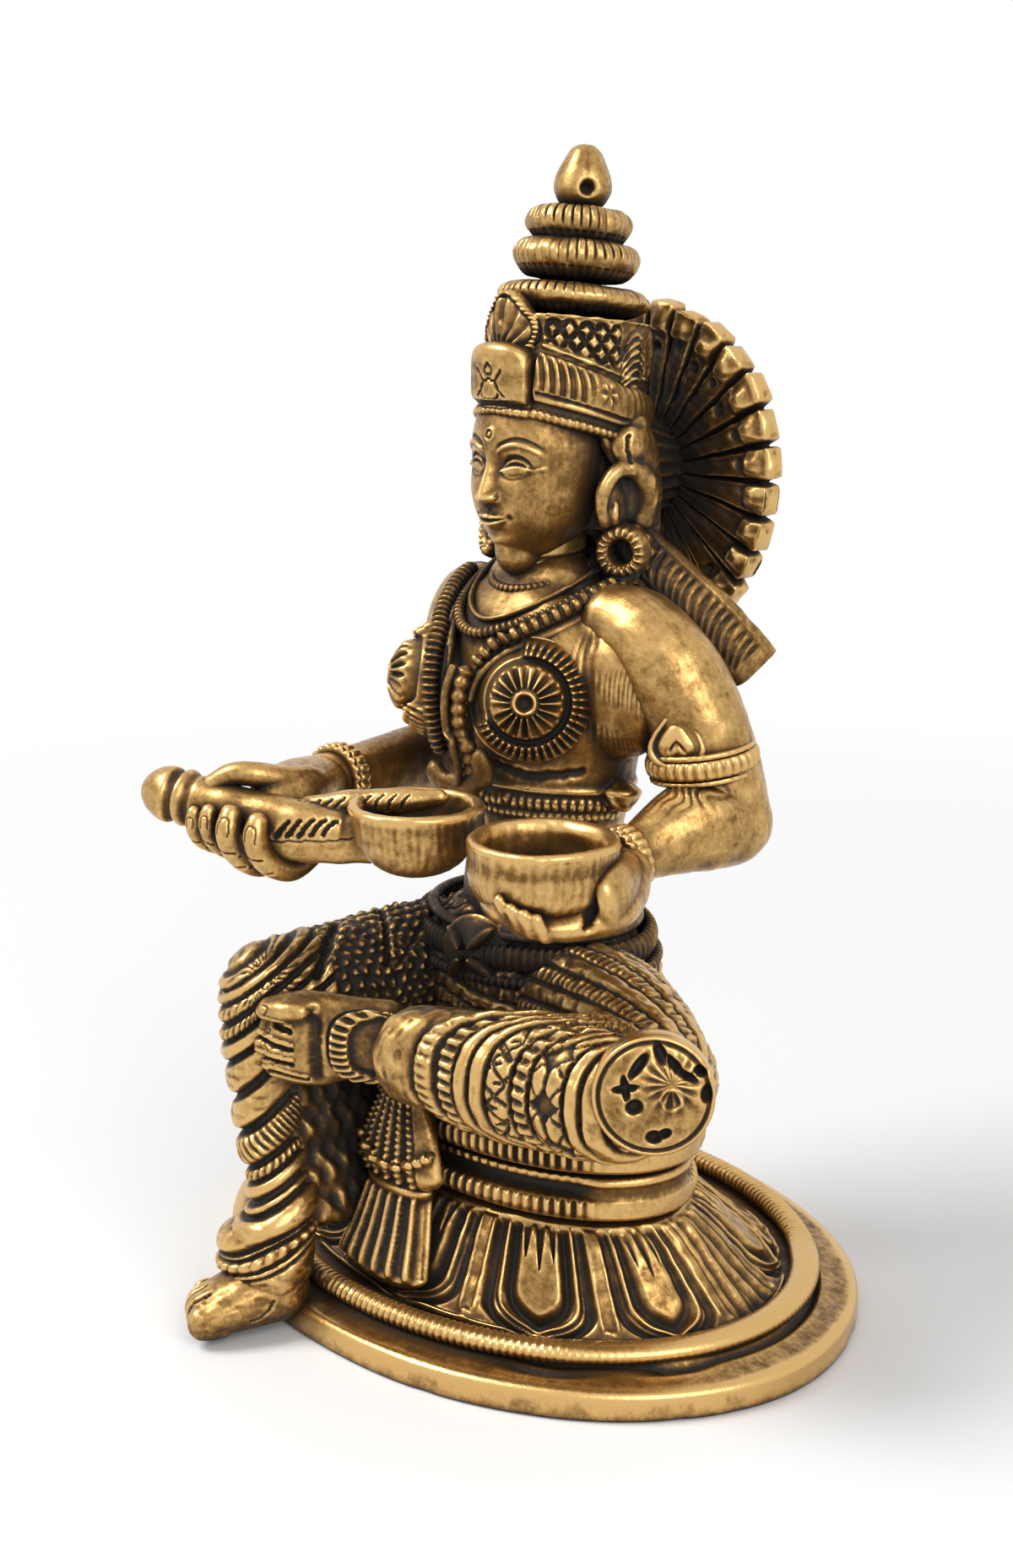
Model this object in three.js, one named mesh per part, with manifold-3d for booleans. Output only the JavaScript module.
// A goddess idol in cast brass. She sits on an oval lotus pedestal with one leg folded on the
// seat and one hanging, a food pot in her left hand and a ladle in her right.
// Millimetres, +Z up. She faces -Y and her left is +X. The origin is the middle of the flat
// underside of the base plate.
import * as THREE from "three";
import { mergeVertices } from "three/addons/utils/BufferGeometryUtils.js";
import Module from "manifold-3d";

const wasm = await Module();
wasm.setup();

// Driving dimensions
const seam = 0.3; // gap between a piece and the piece that it seats on
const plateHalfWidth = 46.3;
const plateHalfDepth = 35.8;
const plateThickness = 3.7;
const ropeHalfWidth = 38.6;
const ropeHalfDepth = 30.2;
const ropeRadius = 1.4;
const ropeBeads = 28;
const lotusHalfWidth = ropeHalfWidth - 1.6;
const lotusHalfDepth = ropeHalfDepth - 3.8;
const lotusHeight = 12.2;
const petalSpan = 33; // degrees that a broad petal and half of each of its neighbours take up
const lotusPetalDepth = 1.3;
const drumForward = 3; // how far the drum stands in front of the middle of the plate
const drumDepthShare = 0.6; // depth over width of the drum, from its lower ring up to the seat
const seatHalfWidth = 27;
const seatThickness = 1.4;
const upperRingHalfWidth = seatHalfWidth + 0.6;
const upperRingHeight = 6.6;
const lowerRingHalfWidth = upperRingHalfWidth - 1;
const lowerRingHeight = 6;
const ringFlutes = 20;
const fluteDepth = 0.9;
const hipHalfWidth = 18.5;
const hipHalfDepth = 13.4;
const hipHeight = 19;
const waistRise = 21; // above the seat
const waistHalfWidth = 10.6;
const waistHalfDepth = 8.6;
const chestRise = 48.6;
const chestHalfWidth = 16.4;
const chestHalfDepth = 10;
const breastRadius = 6.4;
const neckRadius = 5.1;
const headHalfWidth = 8.4;
const headHalfDepth = 8.8;
const headHalfHeight = 10.4;
const thighRadius = 8.2;
const kneeRadius = 7.6;
const ankleRadius = 4.4;
const armRadius = 5.8;
const elbowRadius = 5.2;
const elbowDrop = 16; // below the middle of the chest
const wristRadius = 3.2;
const handRadius = 4.6;
const bandThickness = 1.1;
const potRadius = 8.5;
const potHeight = 10.6;
const potWall = 1.4;
const ladleBowlRadius = 7.8;
const ladleBowlHeight = 8.6;
const ladleWall = 1.3;
const ladleReach = 42; // how far forward the end of the handle is
const ladleRodRadius = 2.6;
const ladleKnobRadius = 3.5;
const haloRadius = 20.4;
const haloThickness = 3.2;
const haloRays = 28;
const haloGroove = 0.9;
const headbandRadius = 11.2;
const headbandHeight = 4.4;
const crownDrumRadius = 9.6;
const crownDrumHeight = 6.4;
const crownRingRadii = [8.8, 7.4, 6];
const crownRingHeight = 3.9;
const crownFlutes = 11;
const finialRadius = 3.3;
const finialHeight = 7.6;
const crownLean = 7; // degrees that the crown leans back
const ribbonHalfWidth = 3.1;
const ribbonThickness = 3.2;
const earringRadius = 3.4;
const earringHole = 1.25;

// Heights that stack on one another
const lotusBase = plateThickness + seam;
const lotusTop = lotusBase + lotusHeight;
const lowerRingBase = lotusTop + seam;
const upperRingBase = lowerRingBase + lowerRingHeight + seam;
const seatBase = upperRingBase + upperRingHeight + seam;
const seatTop = seatBase + seatThickness;

// Places on the figure, at their real heights above the underside
const hip = [0.5, -0.5, seatTop + 0.46 * hipHeight];
const leftKnee = [33, -12.6, seatTop + 7];
const leftAnkle = [3, -26.4, seatTop + 6.2];
const rightKnee = [-15.2, -30.2, seatTop + 8.6];
const rightAnkle = [-8.6, 0.8 - plateHalfDepth, 15];
const waist = [0.6, 0.4, seatTop + waistRise];
const chest = [0.4, -1.2, seatTop + chestRise];
const throat = [0, 1.6, chest[2] + 10];
const head = [0, 1.2, throat[2] + 12.8];
const leftShoulder = [15.8, 1.6, chest[2] + 5.6];
const leftMidArm = [23.4, 3.2, chest[2] - 1.6];
const leftElbow = [27.6, 5.8, chest[2] - elbowDrop];
const leftWrist = [26.4, -8.6, leftElbow[2] - 1.2];
const rightShoulder = [-13.6, 2.2, chest[2] + 5.6];
const rightMidArm = [-17.8, 3, chest[2] - 3];
const rightElbow = [-19.4, 3.6, chest[2] - elbowDrop + 0.5];
const rightWrist = [-15.4, -20, rightElbow[2] + 1];
const potCentre = [25.4, -21.8, leftWrist[2] - 6.4];
const ladleTip = [-19, -ladleReach, rightWrist[2] + 1.4];
const ladleNeck = [2.6, 11.2 - ladleReach, rightWrist[2] - 1.6];
const ladleBowl = [8.6, 16 - ladleReach, rightWrist[2] - 5.8];
const halo = [0, 19.6, head[2] - 0.8];
const crown = [0.2, head[1] + 2.8, head[2] + 6.6];

const vector = (p) => new THREE.Vector3(...p);
const between = (a, b, share) => vector(a).lerp(vector(b), share).toArray();

// A closed geometry as a solid, with its faces turned outwards.
function solid(geometry) {
  const bare = new THREE.BufferGeometry();
  bare.setAttribute("position", geometry.getAttribute("position").clone());
  if (geometry.index) bare.setIndex(geometry.index.clone());
  const merged = mergeVertices(bare, 1e-4);
  const vertProperties = new Float32Array(merged.attributes.position.array);
  const faces = Array.from(merged.index.array);
  const build = (list) => {
    const mesh = new wasm.Mesh({ numProp: 3, vertProperties, triVerts: new Uint32Array(list) });
    mesh.merge();
    return new wasm.Manifold(mesh);
  };
  const made = build(faces);
  return made.volume() > 0 ? made : build(faces.reverse());
}

// Joins rings of points into one closed skin, with a point at each end unless it closes on itself.
function skin(rings, closesOnItself = false) {
  const sides = rings[0].length;
  const points = rings.flat();
  const faces = [];
  const spans = closesOnItself ? rings.length : rings.length - 1;
  for (let i = 0; i < spans; i++) {
    const low = i * sides;
    const high = ((i + 1) % rings.length) * sides;
    for (let j = 0; j < sides; j++) {
      const k = (j + 1) % sides;
      faces.push(low + j, high + j, high + k, low + j, high + k, low + k);
    }
  }
  if (!closesOnItself) {
    for (const [ring, isLast] of [[rings[0], false], [rings.at(-1), true]]) {
      const middle = new THREE.Vector3();
      ring.forEach((p) => middle.addScaledVector(p, 1 / sides));
      points.push(middle);
      const start = isLast ? (rings.length - 1) * sides : 0;
      for (let j = 0; j < sides; j++) {
        const pair = [start + j, start + ((j + 1) % sides)];
        if (isLast) pair.reverse();
        faces.push(points.length - 1, ...pair);
      }
    }
  }
  const geometry = new THREE.BufferGeometry().setFromPoints(points);
  geometry.setIndex(faces);
  return solid(geometry);
}

// A limb through stations of a point, a half width and a half height, with rounded ends.
function limb(stations, { grow = 0, sides = 9, steps = 3, up = [0, 0, 1], ripple = () => 1 } = {}) {
  const path = new THREE.CatmullRomCurve3(stations.map((s) => vector(s[0])));
  const sizeAt = (t, k) => {
    const place = t * (stations.length - 1);
    const i = Math.min(Math.floor(place), stations.length - 2);
    const size = (s) => s[k] ?? s[1];
    return THREE.MathUtils.lerp(size(stations[i]), size(stations[i + 1]), place - i);
  };
  const rings = [];
  const addRing = (t, shift, share) => {
    const along = path.getTangent(t);
    const centre = path.getPoint(t).addScaledVector(along, shift);
    const across = new THREE.Vector3().crossVectors(along, vector(up)).normalize();
    const high = new THREE.Vector3().crossVectors(across, along).normalize();
    const ring = [];
    for (let j = 0; j < sides; j++) {
      const turn = (j / sides) * 2 * Math.PI;
      const swell = ripple(t, turn);
      const wide = (sizeAt(t, 1) * swell + grow) * share;
      const tall = (sizeAt(t, 2) * swell + grow) * share;
      ring.push(centre.clone()
        .addScaledVector(across, wide * Math.cos(turn))
        .addScaledVector(high, tall * Math.sin(turn)));
    }
    rings.push(ring);
  };
  const startRound = Math.min(sizeAt(0, 1), sizeAt(0, 2)) + grow;
  const endRound = Math.min(sizeAt(1, 1), sizeAt(1, 2)) + grow;
  addRing(0, -0.88 * startRound, 0.44);
  addRing(0, -0.6 * startRound, 0.8);
  for (let i = 0; i <= steps; i++) addRing(i / steps, 0, 1);
  addRing(1, 0.6 * endRound, 0.8);
  addRing(1, 0.88 * endRound, 0.44);
  return skin(rings);
}

// A turned oval piece. The profile is pairs of radius and height that start and end on the axis,
// and flute gives how far a point at an angle and height stands out.
function turned(profile, {
  segments = 22, aspect = 1, at = [0, 0, 0], lean = 0, grow = 0, flute = () => 0
} = {}) {
  const heights = profile.map((p) => p[1]);
  const middle = (Math.min(...heights) + Math.max(...heights)) / 2;
  const points = profile.map(([r, z]) => new THREE.Vector2(r, z + grow * Math.sign(z - middle)));
  const geometry = new THREE.LatheGeometry(points, segments);
  geometry.rotateX(Math.PI / 2);
  const position = geometry.getAttribute("position");
  for (let i = 0; i < position.count; i++) {
    const [x, y, z] = [position.getX(i), position.getY(i), position.getZ(i)];
    const r = Math.hypot(x, y);
    const ratio = r < 1e-4 ? 0 : (r + grow + flute(Math.atan2(y, x), z, r)) / r;
    position.setXY(i, x * ratio, y * ratio);
  }
  geometry.scale(1, aspect, 1);
  geometry.rotateX(-THREE.MathUtils.degToRad(lean));
  geometry.translate(...at);
  return solid(geometry);
}

// A closed cord of round section through points that a function of the angle gives.
function loop(pointAt, radius, { count = 24, depth = 0, sides = 6, grow = 0 } = {}) {
  const total = count * 2;
  const centres = Array.from({ length: total }, (_, i) => vector(pointAt((i / total) * 2 * Math.PI)));
  const heart = new THREE.Vector3();
  centres.forEach((p) => heart.addScaledVector(p, 1 / total));
  const rings = centres.map((centre, i) => {
    const along = centres[(i + 1) % total].clone().sub(centres[(i + total - 1) % total]).normalize();
    const out = centre.clone().sub(heart);
    out.addScaledVector(along, -out.dot(along)).normalize();
    const side = new THREE.Vector3().crossVectors(along, out);
    const size = radius + grow - (i % 2 ? depth : 0);
    return Array.from({ length: sides }, (_, j) => {
      const turn = (j / sides) * 2 * Math.PI;
      return centre.clone()
        .addScaledVector(out, size * Math.cos(turn))
        .addScaledVector(side, size * Math.sin(turn));
    });
  });
  return skin(rings, true);
}

// A fluted bangle round a limb at a point, square to a direction.
function bangle(centre, along, radius, { width = 1.8, count = 6, grow = 0 } = {}) {
  const axis = vector(along).normalize();
  const side = new THREE.Vector3().crossVectors(axis, new THREE.Vector3(0.3, 0.2, 1)).normalize();
  const other = new THREE.Vector3().crossVectors(axis, side);
  const rings = Array.from({ length: count * 2 }, (_, i) => {
    const turn = (i / (count * 2)) * 2 * Math.PI;
    const out = side.clone().multiplyScalar(Math.cos(turn)).addScaledVector(other, Math.sin(turn));
    const outer = radius + bandThickness + grow - (i % 2 ? 0.3 * bandThickness : 0);
    const inner = radius - 0.5 * bandThickness;
    const corners = [[inner, -1], [outer, -0.7], [outer, 0.7], [inner, 1]];
    return corners.map(([r, s]) => vector(centre)
      .addScaledVector(out, r)
      .addScaledVector(axis, s * (width + grow)));
  });
  return skin(rings, true);
}

function ball(centre, rx, ry, rz, grow = 0, detail = 12) {
  const geometry = new THREE.SphereGeometry(1, detail, Math.round(0.6 * detail));
  geometry.scale(rx + grow, ry + grow, rz + grow);
  geometry.translate(...centre);
  return solid(geometry);
}

// A fluted drum of the pedestal or crown: its side bulges and is notched all round.
function flutedDrum(halfWidth, height, base, {
  aspect = 1, at = [0, 0], lean = 0, count = ringFlutes, depth = fluteDepth, grow = 0
} = {}) {
  const wave = (angle, z) => (
    Math.abs(z - height / 2) < 0.45 * height ? depth * 0.5 * (Math.cos(count * angle) - 1) : 0);
  const profile = [[0, 0], [halfWidth - 2.2, 0], [halfWidth, 0.3 * height],
    [halfWidth, 0.7 * height], [halfWidth - 2.2, height], [0, height]];
  return turned(profile,
    { segments: count * 2, aspect, at: [at[0], at[1], base], lean, grow, flute: wave });
}

const drum = { aspect: drumDepthShare, at: [1.5, -drumForward] };
const drumFront = -drumForward - drumDepthShare * seatHalfWidth;
const plateAspect = plateHalfDepth / plateHalfWidth;

// The turns of the middles of the broad petals, in degrees, as unevenly as they were cast.
const petalTurns = [-84, -51, -18, 37, 71, 105, 139, 173, 208, 242];

// A broad petal between its pairs of grooves: shares of its span, each with a share of their depth.
const petalHalf = [[0.15, 0], [0.225, 0.9], [0.3, 0], [0.372, 1], [0.45, 0]];
const petalOutline = [
  ...petalHalf.map(([place, depth]) => [-place, depth]).reverse(), [0, 0], ...petalHalf];

// The lotus flares from the drum down to the plate, with a narrow petal between each two broad ones.
function lotus(grow) {
  const neck = lowerRingHalfWidth - 1;
  const outline = petalTurns.flatMap((turn, i) => {
    const next = petalTurns[i + 1] ?? petalTurns[0] + 360;
    return [
      ...petalOutline.map(([place, depth]) => [turn + place * petalSpan, depth]),
      [(turn + next) / 2, 0]];
  });
  const levels = [[0, 1], [0.14, 0.95], [0.5, 0.55], [1, 0]];
  const rings = levels.map(([rise, spread]) => outline.map(([turn, depth]) => {
    const angle = THREE.MathUtils.degToRad(turn);
    const wave = rise < 1 ? -lotusPetalDepth * depth * (spread < 1 ? 1 : 0.4) : 0;
    const wide = THREE.MathUtils.lerp(neck, lotusHalfWidth, spread) + wave + grow;
    const deep = THREE.MathUtils.lerp(neck * drumDepthShare, lotusHalfDepth, spread) + wave + grow;
    const z = lotusBase + rise * lotusHeight + (rise === 0 ? -grow : 0) + (rise === 1 ? grow : 0);
    const x = wide * Math.cos(angle) + (1 - spread) * drum.at[0];
    return new THREE.Vector3(x, deep * Math.sin(angle) - (1 - spread) * drumForward, z);
  }));
  return skin(rings);
}

// A bowl with an open mouth, its foot at the given point. Its cutter has no neck below the lip.
function bowl(at, radius, height, wall, { grow = 0, lean = 0 } = {}) {
  const neck = grow > 0 ? 0.96 : 0.86;
  const outside = [[0, 0], [0.55 * radius, 0.04 * height], [0.88 * radius, 0.28 * height],
    [0.93 * radius, 0.6 * height], [neck * radius, 0.8 * height], [radius, 0.9 * height], [radius, height]];
  const inside = [[radius - wall, height],
    [neck * radius - wall, 0.8 * height], [0.93 * radius - wall, 0.6 * height],
    [0.86 * radius - wall, 0.34 * height], [0.5 * radius, 1.2 * wall], [0, 1.2 * wall]];
  const profile = grow > 0 ? [...outside, [0, height]] : [...outside, ...inside];
  return turned(profile, { segments: 16, at, grow, lean });
}

// The halo is a disc that stands upright, with rays that swell towards the rim.
function haloDisc(grow) {
  const steps = haloRays * 2;
  const wave = (angle) => 0.5 + 0.5 * Math.cos(haloRays * angle);
  const ringAt = (radius, y, groove, scallop) => Array.from({ length: steps }, (_, i) => {
    const angle = (i / steps) * 2 * Math.PI;
    const r = radius + grow - scallop * (1 - wave(angle));
    return new THREE.Vector3(halo[0] + r * Math.cos(angle),
      y + groove * (1 - wave(angle)), halo[2] + r * Math.sin(angle));
  });
  const front = halo[1] - haloThickness / 2 - grow;
  const back = halo[1] + haloThickness / 2 + grow;
  return skin([
    ringAt(0.36 * haloRadius, front, 0.5 * haloGroove, 0),
    ringAt(0.86 * haloRadius, front, haloGroove, 0),
    ringAt(haloRadius, front + 0.6, haloGroove, 1.1),
    ringAt(haloRadius, back, 0, 1.1),
  ]);
}

function earring(centre, facing, grow) {
  const profile = grow > 0
    ? [[0, -0.8], [earringRadius, -0.8], [earringRadius, 0.8], [0, 0.8]]
    : [[earringHole, -0.8], [earringRadius - 0.4, -0.8], [earringRadius, 0],
      [earringRadius - 0.4, 0.8], [earringHole, 0.8], [earringHole, -0.8]];
  const points = profile.map(([r, z]) => new THREE.Vector2(
    r + (r > earringHole ? grow : 0), z + grow * Math.sign(z)));
  const geometry = new THREE.LatheGeometry(points, 16);
  const turn = new THREE.Quaternion()
    .setFromUnitVectors(new THREE.Vector3(0, 1, 0), vector(facing).normalize());
  geometry.applyQuaternion(turn);
  geometry.translate(...centre);
  return solid(geometry);
}

// A ribbon from behind the ear over the shoulder, on her left for side 1 and her right for side -1.
function shoulderRibbon(side, grow) {
  const wide = ribbonHalfWidth;
  const thick = ribbonThickness / 2;
  return limb([
    [[side * 8.4, 6.6, head[2] - 6], 0.7 * wide, thick],
    [[side * 14.4, 8.4, leftShoulder[2] + 5.6], 0.9 * wide, thick],
    [[side * 19.2, 12.6, leftShoulder[2]], wide, thick],
    [[side * 21.2, 15.6, leftShoulder[2] - 4.6], wide, thick],
  ], { grow, sides: 8, steps: 5, up: [side, -0.6, 0.6] });
}

const crownAt = (height) => {
  const lean = THREE.MathUtils.degToRad(crownLean);
  return [crown[0], crown[1] + height * Math.sin(lean), crown[2] + height * Math.cos(lean)];
};
const crownPiece = { lean: crownLean };
const crownHeights = [0, 1, 2, 3].map(
  (i) => headbandHeight + crownDrumHeight + i * (crownRingHeight + seam) + 2 * seam);

// The pleats of hanging cloth, as a share of its width at each turn of its outline.
const pleats = (count, depth) => (t, turn) => 1 + depth * Math.cos(count * turn);

const fist = between(ladleTip, ladleNeck, 0.42);

// Each piece by name. A piece gives way to the pieces above it in this list.
const pieces = {
  base_plate: (g) => turned([[0, 0], [plateHalfWidth - 0.5, 0], [plateHalfWidth, 0.6],
    [plateHalfWidth, plateThickness - 0.7], [plateHalfWidth - 0.7, plateThickness], [0, plateThickness]],
  { segments: 36, aspect: plateAspect, grow: g }),
  rope_border: (g) => loop(
    (a) => [ropeHalfWidth * Math.cos(a), ropeHalfDepth * Math.sin(a),
      plateThickness + seam + ropeRadius],
    ropeRadius, { count: ropeBeads, depth: 0.35, sides: 4, grow: g }),
  lotus_skirt: lotus,
  drum_ring_lower: (g) => flutedDrum(
    lowerRingHalfWidth, lowerRingHeight, lowerRingBase, { ...drum, grow: g }),
  drum_ring_upper: (g) => flutedDrum(
    upperRingHalfWidth, upperRingHeight, upperRingBase, { ...drum, grow: g }),
  seat_cushion: (g) => turned([[0, 0], [seatHalfWidth, 0], [seatHalfWidth + 0.4, seatThickness / 2],
    [seatHalfWidth - 0.6, seatThickness], [0, seatThickness]],
    { aspect: drum.aspect, at: [...drum.at, seatBase], segments: 40, grow: g }),
  hips_skirt: (g) => ball(hip, hipHalfWidth, hipHalfDepth, hipHeight / 2 + 1.4, g, 14),
  torso: (g) => limb([
    [[0.2, 2, hip[2] + 8], waistHalfWidth + 1.6, waistHalfDepth + 1.4],
    [waist, waistHalfWidth, waistHalfDepth],
    [between(waist, chest, 0.5), waistHalfWidth + 2.8, waistHalfDepth + 1.8],
    [chest, chestHalfWidth, chestHalfDepth],
    [[0, 0.8, chest[2] + 7.4], 0.72 * chestHalfWidth, 0.62 * chestHalfDepth],
  ], { grow: g, sides: 12, steps: 6, up: [0, 1, 0] }),
  neck: (g) => limb([[[0, 1.6, throat[2] - 4], neckRadius],
    [[0, 2, throat[2] + 5], neckRadius]], { grow: g, up: [0, 1, 0] }),
  head: (g) => ball(head, headHalfWidth, headHalfDepth, headHalfHeight, g, 14),
  girdle: (g) => loop(
    (a) => [0.84 * hipHalfWidth * Math.cos(a), hip[1] + 0.88 * hipHalfDepth * Math.sin(a),
      hip[2] + 6.6],
    2, { count: 10, depth: 0.3, sides: 4, grow: g }),
  waist_knot: (g) => ball([0.4, hip[1] - 0.88 * hipHalfDepth, hip[2] + 5], 4.2, 2.8, 4, g, 10),
  left_thigh: (g) => limb([
    [[9, -3, seatTop + 8.4], thighRadius],
    [[22, -7, seatTop + 8.4], thighRadius],
    [leftKnee, kneeRadius],
  ], { grow: g }),
  left_shin: (g) => limb([
    [[33.6, -16, seatTop + 6.2], kneeRadius - 0.4],
    [[19, -21.6, seatTop + 6], kneeRadius - 0.7],
    [leftAnkle, ankleRadius + 0.8],
  ], { grow: g }),
  left_knee_rosette: (g) => ball(
    [leftKnee[0] + 5.4, leftKnee[1] - 4.4, leftKnee[2] + 0.4], 3.4, 3.4, 5, g, 10),
  left_foot: (g) => limb([
    [[0.6, -28, leftAnkle[2] + 0.6], 3.4, 4.4],
    [[-3, -30.4, leftAnkle[2] + 0.6], 3, 4.8],
    [[-6.8, -33.4, leftAnkle[2] + 0.2], 2.4, 5.8],
  ], { grow: g }),
  right_thigh: (g) => limb([
    [[-9, -4, seatTop + 9], thighRadius],
    [[-12.8, -17, seatTop + 8.6], thighRadius - 0.6],
    [rightKnee, kneeRadius - 0.8],
  ], { grow: g }),
  right_shin_drape: (g) => limb([
    [[-13.8, -31.8, seatTop + 4], 6.2, 5.8],
    [[-11.2, -33, seatTop - 6], 4.8, 4.8],
    [rightAnkle, 4.2, 4.2],
    [[rightAnkle[0] - 0.8, rightAnkle[1] - 1.2, rightAnkle[2] - 4.4], 7, 5.4],
  ], { grow: g, steps: 6, up: [0, 1, 0], ripple: pleats(7, 0.05) }),
  leg_web: (g) => limb([
    [[-9.4, drumFront - 6, seatTop - 1], 7.6, 1.8],
    [[-8, drumFront - 7.4, seatTop - 11], 7.6, 1.8],
    [[-6, drumFront - 8, lotusBase + 8], 7.6, 2],
  ], { grow: g, sides: 8, up: [1, 0, 0] }),
  right_foot: (g) => limb([
    [[-8.4, -plateHalfDepth - 2.8, 4.8], 4.4, 4],
    [[-11.4, -plateHalfDepth - 8.4, 3.2], 4.8, 2.8],
  ], { grow: g }),
  front_cloth_upper: (g) => limb([
    [[0.5, drumFront - 1.8, seatTop - 3], 3.4, 2],
    [[0.5, drumFront - 2.8, seatTop - 8], 6, 2.2],
    [[0.5, drumFront - 3.2, seatTop - 12], 7, 2.2],
  ], { grow: g, sides: 14, up: [0, 1, 0], ripple: pleats(7, 0.05) }),
  front_cloth_lower: (g) => limb([
    [[0.5, drumFront - 2.8, seatTop - 16], 5, 2.2],
    [[0.5, drumFront - 4.8, 11.6], 6.6, 2.6],
    [[0.5, drumFront - 6.4, 7.8], 7.8, 2.6],
  ], { grow: g, sides: 14, up: [0, 1, 0], ripple: pleats(7, 0.05) }),
  left_breast_cover: (g) => ball(
    [7.6, -8.2, chest[2] - 2.6], breastRadius, breastRadius, breastRadius, g, 12),
  right_breast_cover: (g) => ball(
    [-7.6, -8.2, chest[2] - 2.6], breastRadius, breastRadius, breastRadius, g, 12),
  choker: (g) => loop(
    (a) => [(neckRadius + seam + 1.1) * Math.cos(a), 1.8 + (neckRadius + seam + 1.1) * Math.sin(a),
      throat[2] + 2.8],
    1.1, { count: 8, depth: 0.25, sides: 4, grow: g }),
  collar_necklace: (g) => loop(
    (a) => [(neckRadius + 3.8) * Math.cos(a), -0.2 + (neckRadius + 4) * Math.sin(a),
      throat[2] - 3 + 2.6 * Math.abs(Math.cos(a)) + 3.2 * Math.sin(a)],
    1.5, { count: 11, depth: 0.3, sides: 4, grow: g }),
  long_garland: (g) => loop(
    (a) => [3.4 * Math.cos(a), -12.6 + 1.6 * Math.sin(a) ** 2, chest[2] - 8 + 9.6 * Math.sin(a)],
    1.5, { count: 12, depth: 0.3, sides: 4, grow: g }),
  left_upper_arm: (g) => limb([
    [leftShoulder, armRadius],
    [leftMidArm, armRadius],
    [leftElbow, elbowRadius],
  ], { grow: g, up: [0, 1, 0] }),
  left_forearm: (g) => limb([
    [[leftElbow[0], leftElbow[1] - 1.6, leftElbow[2] - 0.2], elbowRadius],
    [between(leftElbow, leftWrist, 0.6), 0.84 * elbowRadius],
    [leftWrist, wristRadius],
  ], { grow: g }),
  right_upper_arm: (g) => limb([
    [rightShoulder, armRadius],
    [rightMidArm, armRadius - 0.6],
    [rightElbow, elbowRadius - 0.4],
  ], { grow: g, up: [0, 1, 0] }),
  right_forearm: (g) => limb([
    [[rightElbow[0], rightElbow[1] - 1.6, rightElbow[2]], elbowRadius - 0.4],
    [rightWrist, wristRadius + 0.3],
  ], { grow: g }),
  left_armlet: (g) => bangle(between(leftMidArm, leftElbow, 0.46), [0.25, 0.17, -1],
    THREE.MathUtils.lerp(armRadius, elbowRadius, 0.5), { grow: g }),
  right_armlet: (g) => bangle(
    between(rightMidArm, rightElbow, 0.42), [0, 0.1, -1], armRadius - 0.6, { grow: g }),
  left_bracelet: (g) => bangle(
    between(leftElbow, leftWrist, 0.86), [-0.13, -1, -0.07], wristRadius + 0.3, { grow: g }),
  right_bracelet: (g) => bangle(
    between(rightElbow, rightWrist, 0.9), [0.2, -1, 0.04], wristRadius + 0.6, { grow: g }),
  food_pot: (g) => bowl(potCentre, potRadius, potHeight, potWall, { grow: g }),
  left_hand: (g) => limb([
    [[leftWrist[0] - 0.2, leftWrist[1] - 2.6, leftWrist[2] - 1], wristRadius],
    [[26.4, potCentre[1] + 7.2, leftWrist[2] - 4.4], handRadius, 2.8],
    [[25.4, potCentre[1], potCentre[2] - 1.2], handRadius + 0.6, 2.2],
  ], { grow: g, sides: 8, steps: 4 }).add(limb([
    [[potCentre[0] + 2, potCentre[1] - 3.6, potCentre[2] - 0.4], 2.2, 2],
    [[potCentre[0] - 1, potCentre[1] - 6, potCentre[2] + 1], 2.6, 1.6],
    [[potCentre[0] - 4, potCentre[1] - 6, potCentre[2] + 2], 2.2, 1.4],
  ], { grow: g, sides: 6, steps: 2 })),
  ladle_bowl: (g) => bowl(ladleBowl, ladleBowlRadius, ladleBowlHeight, ladleWall, { grow: g }),
  ladle_handle: (g) => limb([
    [ladleTip, ladleKnobRadius],
    [between(ladleTip, ladleNeck, 0.2), ladleRodRadius],
    [between(ladleTip, ladleNeck, 0.6), ladleRodRadius],
    [ladleNeck, ladleRodRadius],
  ], { grow: g, sides: 8, steps: 5 }).add(limb([
    [between(ladleTip, ladleNeck, 0.78), 2.2, 3.2],
    [[ladleNeck[0] + 0.6, ladleNeck[1] + 0.4, ladleNeck[2] + 0.2], 2, 3],
  ], { grow: g, steps: 2 })),
  right_hand: (g) => limb([
    [[rightWrist[0] + 0.6, rightWrist[1] - 3, rightWrist[2]], wristRadius + 0.4],
    [[rightWrist[0] + 3.6, rightWrist[1] - 8.6, rightWrist[2] + 0.4], handRadius, handRadius - 0.6],
    [fist, handRadius + 1, handRadius + 0.4],
  ], { grow: g }),
  back_hair: (g) => limb([[[0, head[1] + 4, head[2] + 1], 7.6, 8],
    [[0, halo[1] - haloThickness / 2 - 1.4, head[2]], 6.6, 7]], { grow: g }),
  halo_wheel: haloDisc,
  left_ear: (g) => ball([headHalfWidth + 1.2, 3.4, head[2] - 1], 1.5, 2.8, 4.6, g, 10),
  right_ear: (g) => ball([-headHalfWidth - 1.2, 3.4, head[2] - 1], 1.5, 2.8, 4.6, g, 10),
  left_earring: (g) => earring([headHalfWidth + 2.4, 2.2, head[2] - 8.4], [0.6, -1, 0], g),
  right_earring: (g) => earring([-headHalfWidth - 2.4, 2.2, head[2] - 8.4], [-0.6, -1, 0], g),
  headband: (g) => turned([[0, 0], [headbandRadius - 0.8, 0],
    [headbandRadius, 0.25 * headbandHeight], [headbandRadius, 0.75 * headbandHeight],
    [headbandRadius - 0.8, headbandHeight], [0, headbandHeight]],
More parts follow.
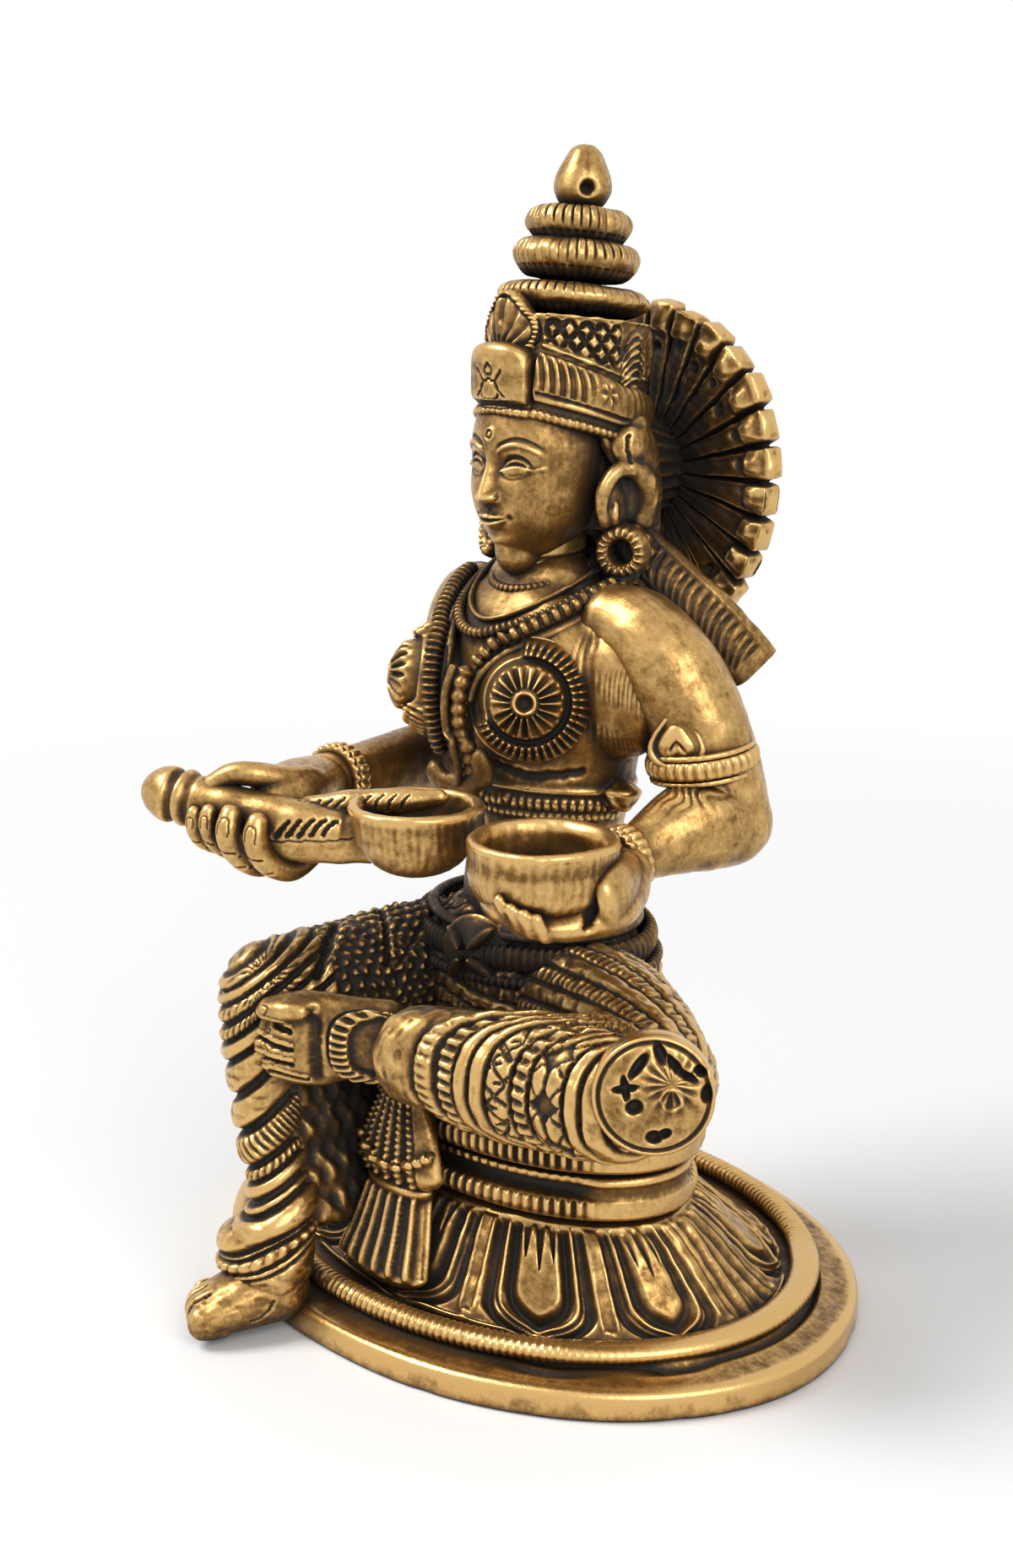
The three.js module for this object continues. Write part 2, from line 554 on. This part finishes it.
    { ...crownPiece, at: [crown[0], crown[1] - 0.8, crown[2]], grow: g }),
  crown_drum: (g) => turned([[0, 0], [crownDrumRadius - 1, 0],
    [crownDrumRadius, 0.35 * crownDrumHeight], [crownDrumRadius - 0.4, 0.75 * crownDrumHeight],
    [crownDrumRadius - 1.6, crownDrumHeight], [0, crownDrumHeight]],
    { ...crownPiece, at: crownAt(headbandHeight + seam), grow: g }),
  crown_ring_lower: (g) => flutedDrum(crownRingRadii[0], crownRingHeight, crownAt(crownHeights[0])[2],
    { ...crownPiece, at: crownAt(crownHeights[0]), count: crownFlutes, grow: g }),
  crown_ring_middle: (g) => flutedDrum(crownRingRadii[1], crownRingHeight, crownAt(crownHeights[1])[2],
    { ...crownPiece, at: crownAt(crownHeights[1]), count: crownFlutes, grow: g }),
  crown_ring_upper: (g) => flutedDrum(crownRingRadii[2], crownRingHeight, crownAt(crownHeights[2])[2],
    { ...crownPiece, at: crownAt(crownHeights[2]), count: crownFlutes, grow: g }),
  crown_finial: (g) => turned([[0, 0], [0.7 * finialRadius, 0],
    [finialRadius, 0.3 * finialHeight], [0.7 * finialRadius, 0.7 * finialHeight], [0, finialHeight]],
    { ...crownPiece, at: crownAt(crownHeights[3]), segments: 16, grow: g }),
  crown_front_leaf: (g) => ball(
    [0, crownAt(headbandHeight + 4)[1] - crownDrumRadius, crownAt(headbandHeight + 4)[2]],
    3.4, 1.6, 4.6, g, 10),
  left_shoulder_ribbon: (g) => shoulderRibbon(1, g),
  right_shoulder_ribbon: (g) => shoulderRibbon(-1, g),
};

const touches = (a, b) => [0, 1, 2].every((k) => a.min[k] < b.max[k] && b.min[k] < a.max[k]);
const largest = (made) => made.decompose().sort((a, b) => b.volume() - a.volume())[0];

const idol = new THREE.Group();
const earlier = [];
for (const [name, shape] of Object.entries(pieces)) {
  let made = shape(0);
  const cutter = shape(seam);
  for (const other of earlier) {
    if (touches(made.boundingBox(), other.boundingBox())) made = made.subtract(other);
  }
  earlier.push(cutter);
  const { vertProperties, triVerts } = largest(made).getMesh();
  const geometry = new THREE.BufferGeometry();
  geometry.setAttribute("position", new THREE.BufferAttribute(vertProperties, 3));
  geometry.setIndex(new THREE.BufferAttribute(triVerts, 1));
  geometry.computeVertexNormals();
  const brass = new THREE.MeshStandardMaterial({ color: 0xa8803f, roughness: 0.38, metalness: 1 });
  const mesh = new THREE.Mesh(geometry, brass);
  mesh.name = name;
  idol.add(mesh);
}

export default idol;
